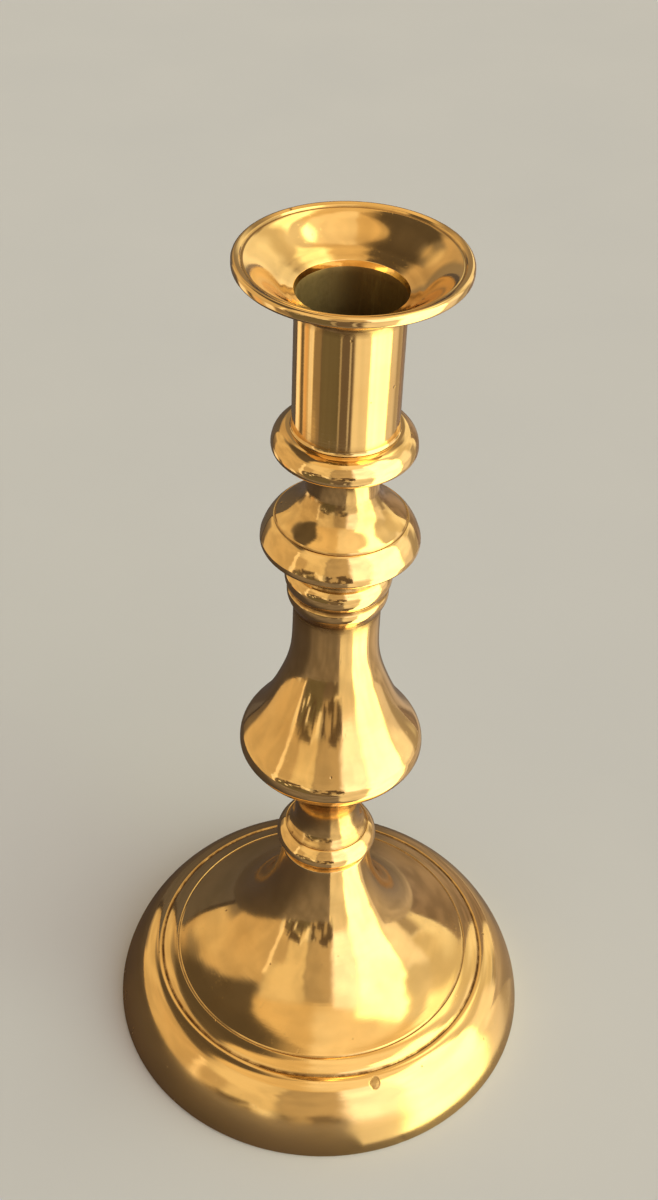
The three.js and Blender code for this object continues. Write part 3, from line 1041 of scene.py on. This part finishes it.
# The studio's soft panels, each painted over those before it: (degrees round from the front to the right,
# half its width), (degrees up, half its height), how soft its edges are, and its light.
PANELS = [
    ((0, 200), (90, 42), 5, (0.86, 0.61, 0.30)),  # bright ceiling
    ((45, 50), (75, 22), 8, (1.10, 0.88, 0.56)),  # its brighter side
    ((-82, 27), (77, 12), 5, (0.54, 0.38, 0.19)),  # and its darker side
    ((-104, 38), (60, 20), 4, (0.12, 0.09, 0.06)),  # dark corner under it
    ((-93, 31), (-3, 41), 2.5, (0.70, 0.50, 0.26)),  # left wall
    ((-126, 14), (17, 15), 5, (0.76, 0.56, 0.30)),  # its far end
    ((-40, 22), (23, 27), 3, (0.88, 0.68, 0.39)),  # front left
    ((-54, 9), (8, 14), 3, (0.66, 0.48, 0.26)),  # a duller patch in it
    ((-38, 20), (-27, 24), 3, (0.16, 0.13, 0.08)),  # the shade below it
    ((-1, 16), (19, 30), 2.5, (0.55, 0.41, 0.24)),  # dark gap at the front
    ((33, 17), (24, 30), 4, (1.60, 1.40, 1.20)),  # the window's softer side
    ((32, 19), (-28, 24), 4, (0.90, 0.76, 0.53)),  # and its lower part
    ((70, 24), (-5, 66), 3, (3.00, 2.80, 1.65)),  # the window
    ((112, 18), (42, 20), 3, (0.86, 0.72, 0.48)),  # right wall
    ((112, 18), (8, 20), 3, (1.20, 1.04, 0.78)),  # its brighter middle
    ((112, 18), (-30, 22), 4, (0.84, 0.71, 0.55)),  # its lower part
    ((127, 11), (-20, 28), 3, (0.46, 0.37, 0.26)),  # gap beside it
    ((130, 15), (36, 26), 3, (0.86, 0.70, 0.43)),  # wall behind, to the right
    ((147, 18), (12, 24), 4, (1.10, 0.95, 0.64)),  # its lower part, farther round
    ((124, 13), (58, 11), 4, (1.90, 1.70, 1.00)),  # its bright upper end
    ((-148, 12), (32, 12), 4, (0.62, 0.43, 0.22)),  # wall behind, to the left
    ((-63, 2), (2, 27), 0.8, (1.30, 1.02, 0.65)),  # upright strip between the walls
    ((-124, 7), (-30, 6), 2, (1.25, 0.98, 0.62)),  # low strips
    ((-108, 5), (-30, 6), 2, (0.15, 0.11, 0.07)),
    ((-95, 5), (-30, 6), 2, (0.85, 0.50, 0.22)),
    ((-82, 4), (-30, 6), 2, (1.05, 0.86, 0.60)),
    ((-68, 8), (-30, 6), 2, (0.28, 0.20, 0.12)),
    ((-15, 2.5), (-30, 6), 1, (0.45, 0.36, 0.24)),
    ((4, 1.5), (-30, 6), 1, (0.55, 0.46, 0.34)),
]


def softbox(nodes, way, height, behind, across, up, soft, light):
    """Paints one soft panel over the light behind it."""
    facing = nodes.place(way, (1, 1, 1), (0, 0, -math.radians(across[0])))
    split = nodes.node("ShaderNodeSeparateXYZ", {0: facing}).outputs
    round_angle = nodes.math("ARCTAN2", split[0], nodes.math("MULTIPLY", split[1], -1.0))
    masks = []
    for angle, (centre, half) in ((round_angle, (0, across[1])), (height, up)):
        away = nodes.math("ABSOLUTE", nodes.math("SUBTRACT", angle, math.radians(centre)))
        masks.append(nodes.ramp(away, math.radians(half - soft), math.radians(half + soft), 1.0, 0.0))
    return nodes.mix(nodes.math("MULTIPLY", *masks), behind, light)


def clutter(nodes, way, height, behind):
    """Small things at the height of the horizon, in front and to the left, as blocks of dark and light."""
    blocks = nodes.place(way, (1.0, 1.0, 0.7))
    cells = nodes.node("ShaderNodeTexVoronoi", {"Vector": blocks, "Scale": 12.0}, distance="CHEBYCHEV")
    chance = nodes.node("ShaderNodeSeparateColor", {0: cells.outputs["Color"]}).outputs
    tone = nodes.mix(nodes.ramp(chance[0], 0.60, 0.62), (0.13, 0.09, 0.06, 1), (1.10, 0.92, 0.62, 1))
    shown = nodes.mix(nodes.ramp(chance[1], 0.55, 0.57), behind, tone)
    return softbox(nodes, way, height, behind, (-24, 42), (-4, 9), 0.5, shown)


def studio():
    """A soft studio: dark low down, with large soft panels round the candlestick and over it."""
    world = bpy.data.worlds.new("studio")
    nodes = Nodes(world)
    straight = nodes.node("ShaderNodeTexCoord").outputs["Generated"]
    drift = nodes.node("ShaderNodeTexNoise", {"Vector": straight, "Scale": 3.5, "Detail": 2.0})
    middle = (0.5, 0.5, 0.5)
    centred = nodes.node(
        "ShaderNodeVectorMath",
        {0: drift.outputs["Color"], 1: middle},
        operation="SUBTRACT",
    )
    waves = nodes.node("ShaderNodeVectorMath", {0: centred.outputs[0], "Scale": 0.20}, operation="SCALE")
    bent = nodes.node("ShaderNodeVectorMath", {0: straight, 1: waves.outputs[0]}, operation="ADD")
    way = nodes.node("ShaderNodeVectorMath", {0: bent.outputs[0]}, operation="NORMALIZE").outputs[0]
    height = nodes.math("ARCSINE", nodes.node("ShaderNodeSeparateXYZ", {0: way}).outputs[2])
    room = nodes.ramp(height, math.radians(-25), math.radians(5))
    light = nodes.mix(room, (0.15, 0.11, 0.08, 1), (0.30, 0.23, 0.15, 1))
    for across, up, soft, tone in PANELS:
        light = softbox(nodes, way, height, light, across, up, soft, (*tone, 1))
    light = clutter(nodes, way, height, light)
    mottle = nodes.ramp(nodes.noise(straight, 3.0, 2.0), 0.35, 0.65, 0.88, 1.08)
    shade = nodes.node("ShaderNodeBackground", {"Color": light, "Strength": mottle})
    nodes.node("ShaderNodeOutputWorld", {0: shade.outputs[0]})
    bpy.context.scene.world = world


def photo_camera():
    camera = bpy.data.cameras.new("camera")
    camera.lens = 49.1
    camera.sensor_width = 36.0
    view = bpy.data.objects.new("camera", camera)
    place = Matrix.Translation((0, -0.2665, 0.3567))
    yaw = Matrix.Rotation(math.radians(0.376), 4, "Z")
    pitch = Matrix.Rotation(math.radians(90 - 40.13), 4, "X")
    roll = Matrix.Rotation(math.radians(2.469), 4, "Z")
    view.matrix_world = place @ yaw @ pitch @ roll
    bpy.context.scene.collection.objects.link(view)
    bpy.context.scene.camera = view


pale_floor()
dark_cloth()
studio()
photo_camera()
bpy.context.scene.view_settings.view_transform = "Standard"
